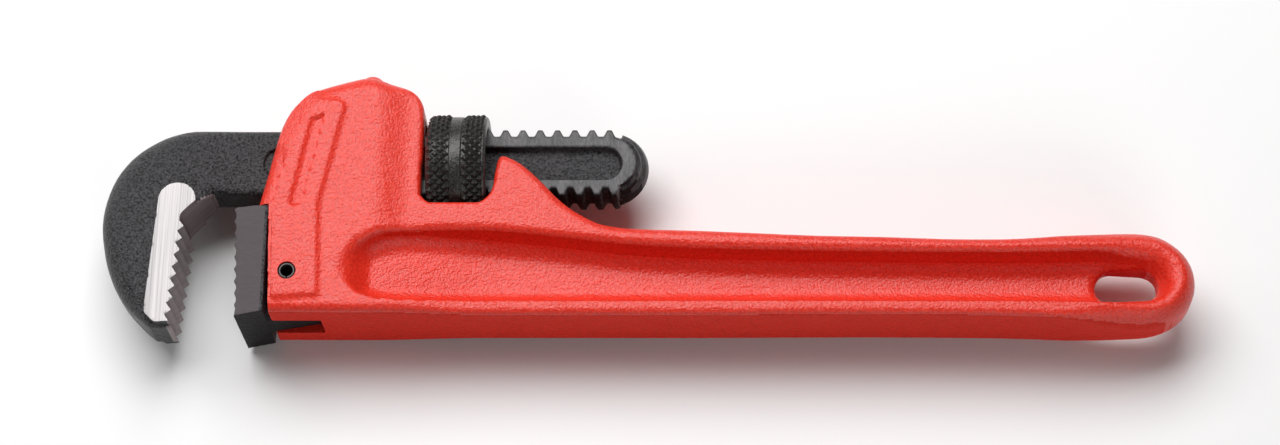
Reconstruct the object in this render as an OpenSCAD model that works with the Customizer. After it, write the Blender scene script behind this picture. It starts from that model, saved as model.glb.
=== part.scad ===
// Pipe wrench lying on its side: a cast I-beam handle with the housing in one piece, a sliding
// hook jaw on a threaded shank, a pinned heel jaw, a knurled nut and the two springs in the housing.
// Inside the modules X runs along the handle from the heel jaw's teeth, Y runs up from the shank's
// axis and Z is the thickness, with 0 in the middle plane.

/* [Overall] */
// Heel jaw's teeth to the end of the handle
handle_l = 217.2; // [185:0.2:270]
// Thickness of the head
head_t = 22; // [20:0.2:27]
// Thickness over the handle's flanges
handle_t = 17.8; // [15.4:0.2:19.6]
// Roof of the housing above the shank's axis
roof_h = 20; // [19:0.2:25]
// Underside of the head and handle below the shank's axis
under_h = 38.4; // [35:0.2:48]
// Opening between the jaws at the top teeth, as set
jaw_gap = 12; // [11.6:0.2:14]

/* [Handle] */
// Height of the handle where it leaves the head
root_h = 21.4; // [19:0.2:23]
// Height of the handle at its narrowest
grip_h = 18.6; // [16:0.2:21]
// Radius of the eye at the handle's end
eye_r = 10.8; // [9.5:0.1:13]
// Height of each flange of the I section
flange_h = 4.4; // [3:0.1:5.2]
// Thickness of the web
web_t = 2.8; // [2:0.1:4]
// Length of the hang hole
hang_l = 14.2; // [11:0.1:17]
// Width of the hang hole
hang_w = 8.2; // [6:0.1:9]
// Edge radius along the handle
edge_r = 3; // [1:0.1:4]
// Edge radius round the head
head_edge_r = 4.4; // [2:0.1:5]

/* [Housing] */
// Front face of the head to the nut's window
housing_l = 34.4; // [32:0.2:41]
// Height of the raised pads on the head's sides
pad_h = 0.7; // [0.2:0.1:1.2]
// Height of the spring hump above the roof
hump_h = 3.2; // [2.8:0.1:4]
// Gap between the shank and its channel
channel_gap = 0.45; // [0.2:0.05:0.8]
// Angle that the hook jaw can rock in the housing
rock = 2; // [1:0.1:2.4]

/* [Thread] */
// Radius over the thread's crests
crest_r = 9.2; // [8.2:0.1:10]
// Depth of the thread
thread_d = 1.45; // [1.1:0.05:1.75]
// Pitch of the thread
pitch = 4; // [3.3:0.1:4.8]
// Thickness of the shank across its flats
shank_t = 9.3; // [8:0.1:11]
// Heel jaw's teeth to the tip of the shank, as set
shank_reach = 93.3; // [80:0.5:112]
// Axial gap between the nut's thread and the shank's
thread_gap = 0.4; // [0.3:0.05:0.5]

/* [Hook jaw] */
// Thickness of the hook
hook_t = 15.4; // [13:0.2:18]
// Back of the hook to its top tooth
hook_w = 20.2; // [17:0.2:24]
// Tip of the hook below the shank's axis
hook_drop = 40.4; // [34:0.2:48]
// Top tooth of the hook below the shank's axis
throat_drop = 16.8; // [16:0.1:20]
// Tooth pitch of both jaws
tooth_pitch = 2.89; // [2.4:0.01:3.5]
// Tooth depth on the hook
hook_tooth_d = 1.4; // [1:0.05:1.7]
// Depth of the panel sunk in each side of the shank
panel_d = 2; // [1:0.1:2.4]
// Height of that panel
panel_h = 7.8; // [6:0.1:9.4]

/* [Heel jaw] */
// Depth of the heel jaw's block
heel_d = 7.4; // [6.2:0.1:9]
// Width of the heel jaw's block
heel_w = 22.5; // [19:0.1:27]
// Tooth depth on the heel jaw
heel_tooth_d = 0.7; // [0.4:0.05:1]
// Width of the tang that sits in the head
tang_w = 8; // [6.6:0.1:9.6]
// Length of the tang
tang_l = 12; // [11:0.1:14.4]
// Radius of the heel jaw's pin
pin_r = 2; // [1.6:0.05:2.4]
// Wall of the rolled pin
pin_wall = 0.6; // [0.4:0.05:0.8]

/* [Nut] */
// Radius over the knurl
nut_r = 12.8; // [12.2:0.1:15.4]
// Length of the nut
nut_l = 13.8; // [11.5:0.1:16.6]
// Gap between the nut and the end walls of its window, both ends together
nut_play = 1.6; // [1.2:0.1:2]
// Width of the plain groove between the knurled bands
groove_w = 2.6; // [1.6:0.1:3.2]

/* [Springs] */
// Thickness of the flat spring
leaf_t = 0.9; // [0.6:0.05:1.1]
// Width of the flat spring
leaf_w = 7; // [5:0.1:8.4]
// Wire diameter of the coil spring
wire_d = 0.8; // [0.5:0.05:1]
// Mean radius of the coil spring
coil_r = 2.1; // [1.6:0.05:2.4]
// Turns of the coil spring
coil_turns = 6; // [4:1:7]

/* [Hidden] */
$fn = 48;
fit = 0.05;            // gap of a close fit
seam = 0.3;            // gap between faces that only come near each other
through = 60;          // length of a cutter that passes right through
arc_step = 12;         // degrees between the points of an outline's arcs

paint = "#d8311c";
forged = "#3a3a3c";
steel = "#5f5b5c";
spring_steel = "#8d8f94";

// Along the handle
hook_back = jaw_gap + hook_w;
front_x = heel_d + fit;
window_x = front_x + housing_l;
nut_x = window_x + nut_play * 0.4;
nut_mid_x = nut_x + nut_l / 2;
window_end_x = nut_x + nut_l + nut_play * 0.6;
spur_x = window_end_x + 2;
eye_x = handle_l - eye_r;
eye_y = -under_h + eye_r - 1.1;

// The whole body's box, for the origin under its middle
top_y = roof_h + hump_h;
low_y = -max(hook_drop, under_h + 1.3);
half_t = max(nut_r, head_t / 2 + pad_h);
mid_x = (handle_l - hook_back) / 2;
mid_y = (top_y + low_y) / 2;

// Room for the shank: level with its crests, and higher in front, where it rocks up
root_r = crest_r - thread_d;
slot_w = shank_t + 2 * channel_gap;
channel_floor = -crest_r - channel_gap;
channel_top = crest_r + (nut_mid_x - front_x) * sin(rock) + channel_gap;
window_r = nut_r + 1.2;

// Outline through [x, y, radius] corners, with each radius drawn as an arc
function unit(v) = v / norm(v);
function xy(p) = [p[0], p[1]];
function corner(a, b, c) =
    let (
        u = unit(xy(a) - xy(b)),
        v = unit(xy(c) - xy(b)),
        half = acos(max(-1, min(1, u * v))) / 2,
        r = b[2],
        start = xy(b) + u * r / tan(half),
        hub = xy(b) + unit(u + v) * r / sin(half),
        from = atan2(start[1] - hub[1], start[0] - hub[0]),
        turn = (180 - 2 * half) * (u[0] * v[1] - u[1] * v[0] > 0 ? -1 : 1),
        steps = max(1, ceil(abs(turn) / arc_step))
    )
    r == 0 ? [xy(b)] : [for (i = [0:steps]) hub + r * [cos(from + turn * i / steps), sin(from + turn * i / steps)]];
function rounded(points) =
    let (n = len(points))
    [for (i = [0:n - 1]) each corner(points[(i + n - 1) % n], points[i], points[(i + 1) % n])];

// Everything is modelled about the shank's axis and set down on its side here
module placed() translate([-mid_x, -mid_y, half_t]) children();

// A solid of revolution about the X axis from an outline of [x, radius]
module about_x() rotate([90, 0, 90]) rotate_extrude() mirror([1, -1]) children();

// An outline drawn in X and Y, with the given thickness about the middle plane
module plate(t) translate([0, 0, -t / 2]) linear_extrude(t) children();

// The same with its edges rounded
module round_plate(t, r) minkowski() {
    plate(t - 2 * r) offset(delta = -r) children();
    sphere(r / cos(15), $fn = 12);
}

// Z is across the wrench; a pair of copies on its two sides
module both_sides() {
    children();
    mirror([0, 0, 1]) children();
}

// ---- handle ----

module head_outline() polygon(rounded([
    [4.9, -head_lip(), 0],
    [10.3, roof_h - 4.4, 11],
    [28.5, roof_h, 8],
    [window_x + 0.2, roof_h - 5.6, 5],
    [window_x, -10, 0],
    [window_x - 6, -under_h, 0],
    [0, -under_h, 0],
    [0, -head_lip(), 0]
]));
function head_lip() = 12.7;

module beam_outline() {
    translate([eye_x, eye_y]) circle(eye_r);
    polygon(rounded([
        [front_x + 8, -under_h, 0],
        [0.66 * handle_l, -under_h + 0.3, 200],
        [eye_x, eye_y - eye_r, 0],
        [eye_x, eye_y + eye_r, 0],
        [0.76 * handle_l, grip_h - under_h, 200],
        [spur_x + root_drop(), root_h - under_h, 20],
        [spur_x + 3.4, -0.2, 5],
        [spur_x - 0.6, 0.4, 1.4],
        [spur_x - 0.6, -9, 0],
        [front_x + 8, -9, 0]
    ]));
}
function root_drop() = under_h - root_h + 3.6;

// Sunk panel of the I section, from behind the head to the eye
module web_outline() polygon(rounded([
    [front_x + 17, -28.2, 5],
    [window_x - 6, -18.2, 9],
    [window_x + 12, -17.2, 30],
    [spur_x + root_drop() + 14, root_h - under_h - flange_h + 0.8, 60],
    [0.76 * handle_l, grip_h - under_h - flange_h + 0.7, 200],
    [eye_x + 4.6, eye_y + eye_r - flange_h - 0.4, 6],
    [eye_x + 4.6, eye_y - eye_r + flange_h - 0.2, 6],
    [0.66 * handle_l, -under_h + flange_h - 0.9, 200],
    [window_x - 6, -under_h + flange_h - 1.2, 9]
]));

module web_recess() translate([0, 0, web_t / 2]) linear_extrude(through)
    offset(delta = -1)
        web_outline();

module pad_outline() difference() {
    polygon(rounded([
        [front_x, -under_h + 3, 0.5],
        [front_x + 11.8, -under_h + 4, 1.2],
        [front_x + 11.1, -11.8, 8],
        [24.6, 12.8, 1.4],
        [21.8, 13.4, 1.4],
        [10.8, 4, 2],
        [6.6, -head_lip(), 0.5],
        [front_x, -head_lip(), 0]
    ]));
    polygon(rounded([[11.6, -13.2, 1.2], [15.1, -13.2, 1.2], [19.6, 11.4, 1], [16.4, 9.4, 1]]));
}

module hump() translate([hump_x(), roof_h - 3, 0]) rotate([-90, 0, 0])
    rotate_extrude()
        polygon(rounded([[0, 0, 0], [6.4, 0, 0], [6, 2.4, 0], [2.6, hump_h + 2.2, 1.4], [0, hump_h + 3, 0]]));
function hump_x() = 28.5;

module eye() translate([eye_x - hang_l / 2 + 2.2, eye_y - 0.5, 0]) plate(through) hull() {
    for (side = [-1, 1])
        translate([side * (hang_l - hang_w) / 2, 0])
            circle(hang_w / 2);
}

module channel() {
    plate(slot_w) polygon([
        [-through, channel_floor],
        [window_x + 1, channel_floor],
        [window_x + 1, crest_r + 1],
        [pin_x() + 3.2, crest_r + 1],
        [pin_x() + 3.2, leaf_top_y() + leaf_t / 2 + seam],
        [18, leaf_top_y() + leaf_t / 2 + seam],
        [12, channel_top],
        [-through, channel_top]
    ]);
    // Between the two prongs behind the nut
    plate(slot_w) polygon([
        [window_end_x - 1, channel_floor - 1],
        [through * 2, channel_floor - 1 - (through * 2 - nut_mid_x) * tan(rock)],
        [through * 2, through],
        [window_end_x - 1, through]
    ]);
    // Blind pocket for the coil spring, up into the hump
    translate([hump_x(), 0, 0]) rotate([-90, 0, 0]) cylinder(h = coil_top_y() + 0.1, r = pocket_r());
    // Hole that the spring's pin is driven into
    translate([pin_x(), 0, 0]) rotate([-90, 0, 0]) cylinder(h = spring_pin_top_y() + 0.2, r = 1.5 + fit);
}
function pocket_r() = coil_r + wire_d / 2 + 0.3;

module window() {
    plate(through) polygon([
        [window_x, through],
        [spur_x + 20, through],
        [spur_x + 20, 1],
        [spur_x, 1],
        [window_end_x, -6],
        [window_x, -6]
    ]);
    about_x() polygon(rounded([
        [window_x, 0, 0],
        [window_x, window_r, 2.6],
        [window_end_x, window_r, 2.6],
        [window_end_x, 0, 0]
    ]));
}

module heel_seat() {
    translate([-through, -through - head_lip(), -through / 2]) cube([through + front_x, through, through]);
    translate([0, -through - tang_top_y(), -tang_w / 2 - 0.15])
        cube([front_x + tang_l + seam, through, tang_w + 0.3]);
    heel_pin_hole(pin_r + fit);
}
function tang_top_y() = head_lip() + 4.4;

module heel_pin_hole(r) translate([front_x + 5, -29, 0]) cylinder(h = through, r = r, center = true);

module handle() color(paint) placed() difference() {
    union() {
        round_plate(head_t, head_edge_r) head_outline();
        round_plate(handle_t, edge_r) beam_outline();
        both_sides() translate([0, 0, head_t / 2 - 1]) linear_extrude(1 + pad_h) pad_outline();
        hump();
    }
    both_sides() web_recess();
    eye();
    channel();
    window();
    heel_seat();
}

// ---- hook jaw ----

slope = 0.08;          // how far the hook's tooth line leans from upright
neck_top = 8.2;
neck_low = 7.9;
nose_x = shank_reach - crest_r;
thread_x = 14;
top_crest_x = 59.95;   // centre of one crest on the upper side
slant = atan(pitch / (2 * PI * crest_r));
groove_root = 0.45 * pitch;
groove_mouth = 0.72 * pitch;
teeth = floor((hook_drop - 0.5 - throat_drop) / tooth_pitch);

module hook_outline() polygon(rounded([
    [-3.2, neck_top, 0],
    [-hook_back, neck_top, hook_w],
    [-hook_back, -hook_drop + 15.2, 31],
    [-hook_back + 15.2, -hook_drop, 0],
    [-jaw_gap + 3, -hook_drop, 0],
    [-jaw_gap + 5.6, -neck_low, 0]
]));

// Everything inside the hook: the throat, then the row of teeth down to the tip
module mouth_outline() polygon(concat(
    [[20, -neck_low], [-jaw_gap + 5.4, -neck_low], [-jaw_gap - 0.8, -13.2], [-jaw_gap - 1.3, 1.4 - throat_drop]],
    [for (k = [0:teeth]) each [
        [-jaw_gap - 0.2 - slope * tooth_pitch * k, -throat_drop - tooth_pitch * k],
        [-jaw_gap - 0.25 - hook_tooth_d - slope * tooth_pitch * k, -throat_drop - tooth_pitch * k - 1.15]
    ]],
    [[-jaw_gap - 2, -through], [20, -through]]
));

// Round bar with a ball nose, from inside the hook to the tip of the shank
module bar(r) {
    translate([-jaw_gap, 0, 0]) rotate([0, 90, 0]) cylinder(h = nose_x + jaw_gap, r = r);
    translate([nose_x, 0, 0]) sphere(r);
}

// One thread groove on the upper side, leaning with the helix
module thread_groove() rotate([0, slant, 0]) plate(through) polygon([
    [-groove_root / 2, root_r - 3],
    [groove_root / 2, root_r - 3],
    [groove_root / 2, root_r],
    [groove_mouth / 2, crest_r + 0.1],
    [-groove_mouth / 2, crest_r + 0.1],
    [-groove_root / 2, root_r]
]);

module thread_grooves() {
    first = ceil((thread_x + pitch - top_crest_x) / pitch);
    last = floor((shank_reach - top_crest_x) / pitch);
    for (k = [first:last]) {
        translate([top_crest_x + pitch * (k + 0.5), 0, 0]) thread_groove();
        translate([top_crest_x + pitch * k, 0, 0]) rotate([180, 0, 0]) thread_groove();
    }
}

module shank_panel() translate([0, 0, shank_t / 2 - panel_d]) linear_extrude(panel_d + 1) hull() {
    for (x = [8.6, nose_x - 0.8])
        translate([x, 0])
            circle(panel_h / 2);
}

module hook_jaw() color(forged) placed() {
    difference() {
        round_plate(hook_t, 3.4) hook_outline();
        plate(through) mouth_outline();
    }
    difference() {
        intersection() {
            union() {
                difference() {
                    bar(crest_r);
                    thread_grooves();
                }
                bar(root_r);
            }
            translate([-through, -through / 2, -shank_t / 2]) cube([4 * through, through, shank_t]);
        }
        translate([-through, neck_top, -through / 2]) cube([through + thread_x - 1, through, through]);
        translate([-through, -through - neck_low, -through / 2]) cube([through + thread_x - 1, through, through]);
        both_sides() shank_panel();
    }
}

// ---- heel jaw ----

module heel_outline() {
    lean = 0.053;
    count = floor((under_h - head_lip() - 3) / tooth_pitch);
    top = head_lip() + seam + 2.2;
    polygon(concat(
        [[heel_d, -head_lip() - seam], [0.9, -head_lip() - seam], [0.2, -head_lip() - 1]],
        [for (k = [0:count - 1]) each [
            [-0.3 + lean * tooth_pitch * k, -top - tooth_pitch * k],
            [-0.2 + heel_tooth_d + lean * tooth_pitch * k, -top - tooth_pitch * (k + 0.5)]
        ]],
        [[0.9, -under_h - 1.3], [heel_d, -under_h]]
    ));
}

module heel_jaw() color(steel) placed() difference() {
    union() {
        plate(heel_w) heel_outline();
        plate(tang_w) polygon([
            [heel_d - 1, -tang_top_y() - seam],
            [heel_d + tang_l, -tang_top_y() - seam],
            [heel_d + tang_l, -under_h + 2.8],
            [heel_d - 1, -under_h]
        ]);
    }
    heel_pin_hole(pin_r + fit);
}

// Rolled from strip, so it is hollow with a slit along it
module heel_jaw_pin() color("#2a2a2b") placed() difference() {
    intersection() {
        heel_pin_hole(pin_r);
        plate(head_t + pad_h) translate([0, -under_h]) square([2 * front_x + tang_l, under_h]);
    }
    heel_pin_hole(pin_r - pin_wall);
    translate([front_x + 5 - 0.3, -29 - pin_r - 1, -through / 2]) cube([0.6, pin_r + 1, through]);
}

// ---- adjusting nut ----

// Thread ridge inside the nut: one helical sweep, as many rings as turns of it need
module nut_ridge() {
    rings_per_turn = 32;
    base_r = crest_r + 0.7;
    tip_r = root_r + 0.3;
    tip_w = groove_root / 2 - thread_gap;
    // The shank's grooves are narrowest, at the crests' radius, where its flats cut them
    flat_y = sqrt(crest_r * crest_r - shank_t * shank_t / 4);
    flat_w = (groove_root + (groove_mouth - groove_root) * max(0, flat_y - root_r) / thread_d) / 2;
    base_w = tip_w + (flat_w - 0.08 - tip_w) * (base_r - tip_r) / (crest_r - tip_r);
    end = base_w + 0.06;
    rings = floor((nut_l - 2 * end) / pitch * rings_per_turn);
    // Centred in the shank's grooves: half a pitch from its crests
    phase = (nut_x + end - top_crest_x - pitch / 2) / pitch * 360;
    ring = [[-base_w, base_r], [-tip_w, tip_r], [tip_w, tip_r], [base_w, base_r]];
    points = [for (i = [0:rings]) for (p = ring)
        let (a = phase + i * 360 / rings_per_turn)
        [nut_x + end + i * pitch / rings_per_turn + p[0], p[1] * cos(a), p[1] * sin(a)]];
    polyhedron(points, concat(
        [[0, 1, 2, 3]],
        [for (i = [0:rings - 1]) for (j = [0:3])
            let (a = 4 * i + j, b = 4 * i + (j + 1) % 4)
            each [[a, b + 4, b], [a, a + 4, b + 4]]],
        [[for (j = [3:-1:0]) 4 * rings + j]]
    ));
}

module adjusting_nut() color(forged) placed() {
    band = (nut_l - groove_w) / 2;
    bore_r = crest_r + 0.5;
    shoulder_r = min(1.8, 0.7 * (nut_r - bore_r));
    groove_r = nut_r - min(0.8, 0.3 * (nut_r - bore_r));
    about_x() polygon(rounded([
        [nut_x, bore_r, 0],
        [nut_x, nut_r, shoulder_r],
        [nut_x + band, nut_r, 0.3],
        [nut_x + band, groove_r, 0],
        [nut_x + nut_l - band, groove_r, 0],
        [nut_x + nut_l - band, nut_r, 0.3],
        [nut_x + nut_l, nut_r, shoulder_r],
        [nut_x + nut_l, bore_r, 0]
    ]));
    nut_ridge();
}

// ---- springs ----

function leaf_low_y() = crest_r + 0.2;
function leaf_top_y() = roof_h - 6.4;
function pin_x() = 33.8;
function coil_top_y() = roof_h + 0.4;
function spring_pin_top_y() = roof_h - 4;
// Height of the flat spring's underside: flat at its pinned end, bowed down to the shank in front
function leaf_y(x) =
    let (t = max(0, min(1, (x - 17) / 14)), curl = max(0, 17 - x))
    leaf_low_y() + (leaf_top_y() - leaf_t / 2 - leaf_low_y()) * t * t * (3 - 2 * t) + 0.05 * curl * curl;

module flat_spring() color(spring_steel) placed() {
    xs = [for (i = [0:18]) 13 + i * (35.6 - 13) / 18];
    difference() {
        plate(leaf_w) polygon(concat(
            [for (x = xs) [x, leaf_y(x)]],
            [for (i = [18:-1:0]) [xs[i], leaf_y(xs[i]) + leaf_t]]
        ));
        translate([pin_x(), 0, 0]) rotate([-90, 0, 0]) cylinder(h = through, r = 1.5 + fit);
    }
}

// The wire's rings follow a helix whose first and last turns lie flat
module coil_spring() color(spring_steel) placed() {
    sides = 8;
    per_turn = 16;
    rings = coil_turns * per_turn;
    low = leaf_y(hump_x() + coil_r) + leaf_t + wire_d / 2 + 0.1;
    rise = coil_top_y() - 0.1 - wire_d / 2 - low;
    points = [for (i = [0:rings]) for (j = [0:sides - 1])
        let (
            a = i * 360 / per_turn,
            b = j * 360 / sides,
            r = coil_r + wire_d / 2 * cos(b),
            t = max(0, min(1, (i - per_turn * 0.75) / (rings - per_turn * 1.5)))
        )
        [hump_x() + r * cos(a), low + rise * t + wire_d / 2 * sin(b), r * sin(a)]];
    polyhedron(points, concat(
        [[for (j = [0:sides - 1]) j]],
        [for (i = [0:rings - 1]) for (j = [0:sides - 1])
            let (a = sides * i + j, b = sides * i + (j + 1) % sides)
            each [[a, b + sides, b], [a, a + sides, b + sides]]],
        [[for (j = [sides - 1:-1:0]) sides * rings + j]]
    ));
}

module spring_pin() color(steel) placed() {
    head_y = leaf_y(pin_x()) - 1.1;
    translate([pin_x(), head_y, 0]) rotate([-90, 0, 0]) cylinder(h = 1.1 - fit, r = 2.6);
    translate([pin_x(), head_y, 0]) rotate([-90, 0, 0]) cylinder(h = spring_pin_top_y() - head_y, r = 1.5);
}

handle();
hook_jaw();
heel_jaw();
heel_jaw_pin();
adjusting_nut();
flat_spring();
coil_spring();
spring_pin();
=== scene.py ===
import math

import bmesh
import bpy
import numpy as np
from mathutils import Matrix, Vector


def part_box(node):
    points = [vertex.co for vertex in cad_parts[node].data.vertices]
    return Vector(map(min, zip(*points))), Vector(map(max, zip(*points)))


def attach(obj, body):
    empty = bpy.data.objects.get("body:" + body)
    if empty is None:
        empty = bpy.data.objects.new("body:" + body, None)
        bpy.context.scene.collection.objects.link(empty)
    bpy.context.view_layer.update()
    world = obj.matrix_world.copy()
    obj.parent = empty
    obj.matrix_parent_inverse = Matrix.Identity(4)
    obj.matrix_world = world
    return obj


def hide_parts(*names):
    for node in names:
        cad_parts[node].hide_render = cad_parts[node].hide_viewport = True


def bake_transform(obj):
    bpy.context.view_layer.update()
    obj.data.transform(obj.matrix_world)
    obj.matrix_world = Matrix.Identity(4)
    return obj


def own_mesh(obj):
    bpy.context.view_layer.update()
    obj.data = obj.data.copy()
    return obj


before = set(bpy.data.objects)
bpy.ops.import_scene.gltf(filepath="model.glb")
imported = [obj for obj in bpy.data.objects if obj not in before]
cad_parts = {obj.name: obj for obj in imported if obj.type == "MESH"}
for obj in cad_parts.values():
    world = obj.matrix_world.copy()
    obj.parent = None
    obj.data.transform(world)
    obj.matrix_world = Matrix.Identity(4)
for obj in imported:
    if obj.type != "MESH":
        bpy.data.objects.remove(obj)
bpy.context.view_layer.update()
scene = bpy.context.scene

# Shapes are worked out in millimetres with X along the handle from the heel jaw's teeth, Y up from the
# shank's axis and Z across the wrench. The nut is centred on that axis, so its box gives the origin.
nutLow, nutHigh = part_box("adjusting_nut")
nutMiddle = 49.39
origin = (nutLow + nutHigh) / 2 - Vector((nutMiddle * 0.001, 0, 0))


def toFrame(points):
    return np.asarray(points, float) * 0.001 + np.array(origin)


def toWrench(point):
    return (np.array(point, float) - np.array(origin)) * 1000


def smoothStep(low, high, value):
    part = np.clip((value - low) / (high - low), 0, 1)
    return part * part * (3 - 2 * part)


def roundedOutline(corners, step=5):
    # corners are (x, y, radius), and each radius becomes an arc with a point every few degrees
    made, count = [], len(corners)
    for i, (x, y, radius) in enumerate(corners):
        corner = np.array([x, y], float)
        if radius == 0:
            made.append(corner)
            continue
        toBefore = np.array(corners[i - 1][:2], float) - corner
        toAfter = np.array(corners[(i + 1) % count][:2], float) - corner
        toBefore, toAfter = toBefore / np.linalg.norm(toBefore), toAfter / np.linalg.norm(toAfter)
        half = math.acos(np.clip(toBefore @ toAfter, -1, 1)) / 2
        start = corner + toBefore * radius / math.tan(half)
        toHub = (toBefore + toAfter) / np.linalg.norm(toBefore + toAfter)
        hub = corner + toHub * radius / math.sin(half)
        first = math.atan2(*(start - hub)[::-1])
        leftTurn = toBefore[0] * toAfter[1] - toBefore[1] * toAfter[0] > 0
        turn = (math.pi - 2 * half) * (-1 if leftTurn else 1)
        steps = max(1, math.ceil(abs(math.degrees(turn)) / step))
        for k in range(steps + 1):
            angle = first + turn * k / steps
            made.append(hub + radius * np.array([math.cos(angle), math.sin(angle)]))
    return made


def smoothLine(points, pieces=3, closed=False):
    # a smooth curve through every point
    points = [np.array(point, float) for point in points]
    count = len(points)
    made = []
    for i in range(count if closed else count - 1):
        if closed:
            before, here, after, beyond = (points[(i + k) % count] for k in (-1, 0, 1, 2))
        else:
            here, after = points[i], points[i + 1]
            before = points[i - 1] if i else 2 * here - after
            beyond = points[i + 2] if i + 2 < count else 2 * after - here
        for k in range(pieces):
            part = k / pieces
            made.append(0.5 * (2 * here + (after - before) * part
                               + (2 * before - 5 * here + 4 * after - beyond) * part ** 2
                               + (3 * here - before - 3 * after + beyond) * part ** 3))
    return made if closed else made + [points[-1]]


def outlineDistance(x, y, outline):
    # distance to a closed outline, negative inside it
    x, y = np.broadcast_arrays(x, y)
    nearest = np.full(x.shape, 1e9)
    inside = np.zeros(x.shape, bool)
    for i, (startX, startY) in enumerate(outline):
        endX, endY = outline[(i + 1) % len(outline)]
        alongX, alongY = endX - startX, endY - startY
        length = alongX * alongX + alongY * alongY
        if length < 1e-12:
            continue
        fromX, fromY = x - startX, y - startY
        part = np.clip((fromX * alongX + fromY * alongY) / length, 0, 1)
        nearest = np.minimum(nearest, (fromX - alongX * part) ** 2 + (fromY - alongY * part) ** 2)
        if alongY:
            inside ^= ((startY <= y) != (endY <= y)) & (x < startX + fromY * alongX / alongY)
    return np.where(inside, -1, 1) * np.sqrt(nearest)


def capsuleDistance(x, y, start, end, middle, radius):
    return np.hypot(x - np.clip(x, start, end), y - middle) - radius


def roundBoth(first, second, radius):
    # where both hold, with the outer edge rounded
    corner = np.hypot(np.maximum(first + radius, 0), np.maximum(second + radius, 0))
    return np.minimum(-radius, np.maximum(first, second)) + corner


def roundEither(first, second, radius):
    # where either holds, with a fillet between them
    return -roundBoth(-first, -second, radius)


def cutAway(body, cutter, radius):
    return roundBoth(body, -cutter, radius)


def crossingPoints(field, start, move, nearValue, farValue):
    # closes in on the field's 0 between each start and the grid point one move further on
    near, far = np.zeros(len(start)), np.ones(len(start))
    for _ in range(3):
        part = np.clip((near * farValue - far * nearValue) / (farValue - nearValue), 0, 1)
        point = start + np.outer(part, move)
        found = field(*point.T)
        same = (found < 0) == (nearValue < 0)
        near, far = np.where(same, part, near), np.where(same, far, part)
        nearValue, farValue = np.where(same, found, nearValue * 0.5), np.where(same, farValue * 0.5, found)
    return point


def gridCrossings(field, values, low, cell):
    # every grid edge that crosses the surface: the crossing, the four cells round it and its direction
    inside, count, step = values < 0, values.shape, np.eye(3, dtype=int)
    places, cells, flips = [], [], []
    for axis in range(3):
        second, third = (axis + 1) % 3, (axis + 2) % 3
        lower, upper = [slice(None)] * 3, [slice(None)] * 3
        lower[axis], upper[axis] = slice(None, -1), slice(1, None)
        index = np.argwhere(inside[tuple(lower)] != inside[tuple(upper)])
        index = index[(index[:, second] > 0) & (index[:, third] > 0)
                      & (index[:, second] < count[second] - 1) & (index[:, third] < count[third] - 1)]
        nearValue, farValue = values[tuple(index.T)], values[tuple((index + step[axis]).T)]
        flips.append(nearValue >= 0)
        places.append(crossingPoints(field, low + cell * index, cell * step[axis], nearValue, farValue))
        around = [index, index - step[second], index - step[second] - step[third], index - step[third]]
        cells.append(np.stack([np.ravel_multi_index(corner.T, count) for corner in around], 1))
    return np.concatenate(places), np.concatenate(cells), np.concatenate(flips)


def meshField(field, low, high, cell):
    # Finds the surface where the field is 0 and puts one point in each cell that it crosses, placed by
    # the field's slopes, so that flats stay flat and edges stay sharp.
    low = np.array(low, float)
    count = np.ceil((np.array(high, float) - low) / cell).astype(int) + 1
    x, y, z = (low[i] + cell * np.arange(count[i]) for i in range(3))
    values = np.broadcast_to(field(x[:, None, None], y[None, :, None], z[None, None, :]), count)
    places, cells, flips = gridCrossings(field, values, low, cell)
    slopes, reach = np.zeros_like(places), 0.015
    for corner in ((1, -1, -1), (-1, -1, 1), (-1, 1, -1), (1, 1, 1)):
        corner = np.array(corner, float)
        slopes += corner * field(*(places + corner * reach).T)[:, None]
    slopes /= np.maximum(np.linalg.norm(slopes, axis=1), 1e-9)[:, None]
    used, local = np.unique(cells, return_inverse=True)
    local = local.reshape(-1, 4)

    def gather(weights):
        return np.bincount(local.ravel(), np.repeat(weights, 4), len(used))

    share = gather(np.ones(len(places)))
    middle = np.stack([gather(places[:, i]) for i in range(3)], 1) / share[:, None]
    level = np.einsum("ij,ij->i", slopes, places)
    matrix = np.zeros((len(used), 3, 3))
    side = np.zeros((len(used), 3))
    for i in range(3):
        side[:, i] = gather(slopes[:, i] * level)
        for j in range(3):
            matrix[:, i, j] = gather(slopes[:, i] * slopes[:, j])
    side -= np.einsum("nij,nj->ni", matrix, middle)
    matrix += 0.06 * np.eye(3)  # holds a point near its cell's middle where the surface is flat
    made = middle + np.linalg.solve(matrix, side[:, :, None])[:, :, 0]
    cellLow = low + cell * np.stack(np.unravel_index(used, count), 1)
    made = np.clip(made, cellLow, cellLow + cell)
    return made, np.where(flips[:, None], local[:, ::-1], local)


def newPiece(name, points, faces, materials, choose=None, sharp=38):
    # choose(middles, normals) gives each face's material number
    mesh = bpy.data.meshes.new(name)
    mesh.from_pydata(points.tolist() if hasattr(points, "tolist") else points, [],
                     faces.tolist() if hasattr(faces, "tolist") else faces)
    for finish in materials:
        mesh.materials.append(finish)
    mesh.update()
    mesh.polygons.foreach_set("use_smooth", [True] * len(mesh.polygons))
    if choose:
        middles = np.zeros(len(mesh.polygons) * 3)
        normals = np.zeros(len(mesh.polygons) * 3)
        mesh.polygons.foreach_get("center", middles)
        mesh.polygons.foreach_get("normal", normals)
        chosen = choose(toWrench(middles.reshape(-1, 3)), normals.reshape(-1, 3))
        mesh.polygons.foreach_set("material_index", np.asarray(chosen, int))
    mesh.set_sharp_from_angle(angle=math.radians(sharp))
    made = bpy.data.objects.new(name, mesh)
    scene.collection.objects.link(made)
    print("made", name, len(mesh.polygons), "faces")
    return made


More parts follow.
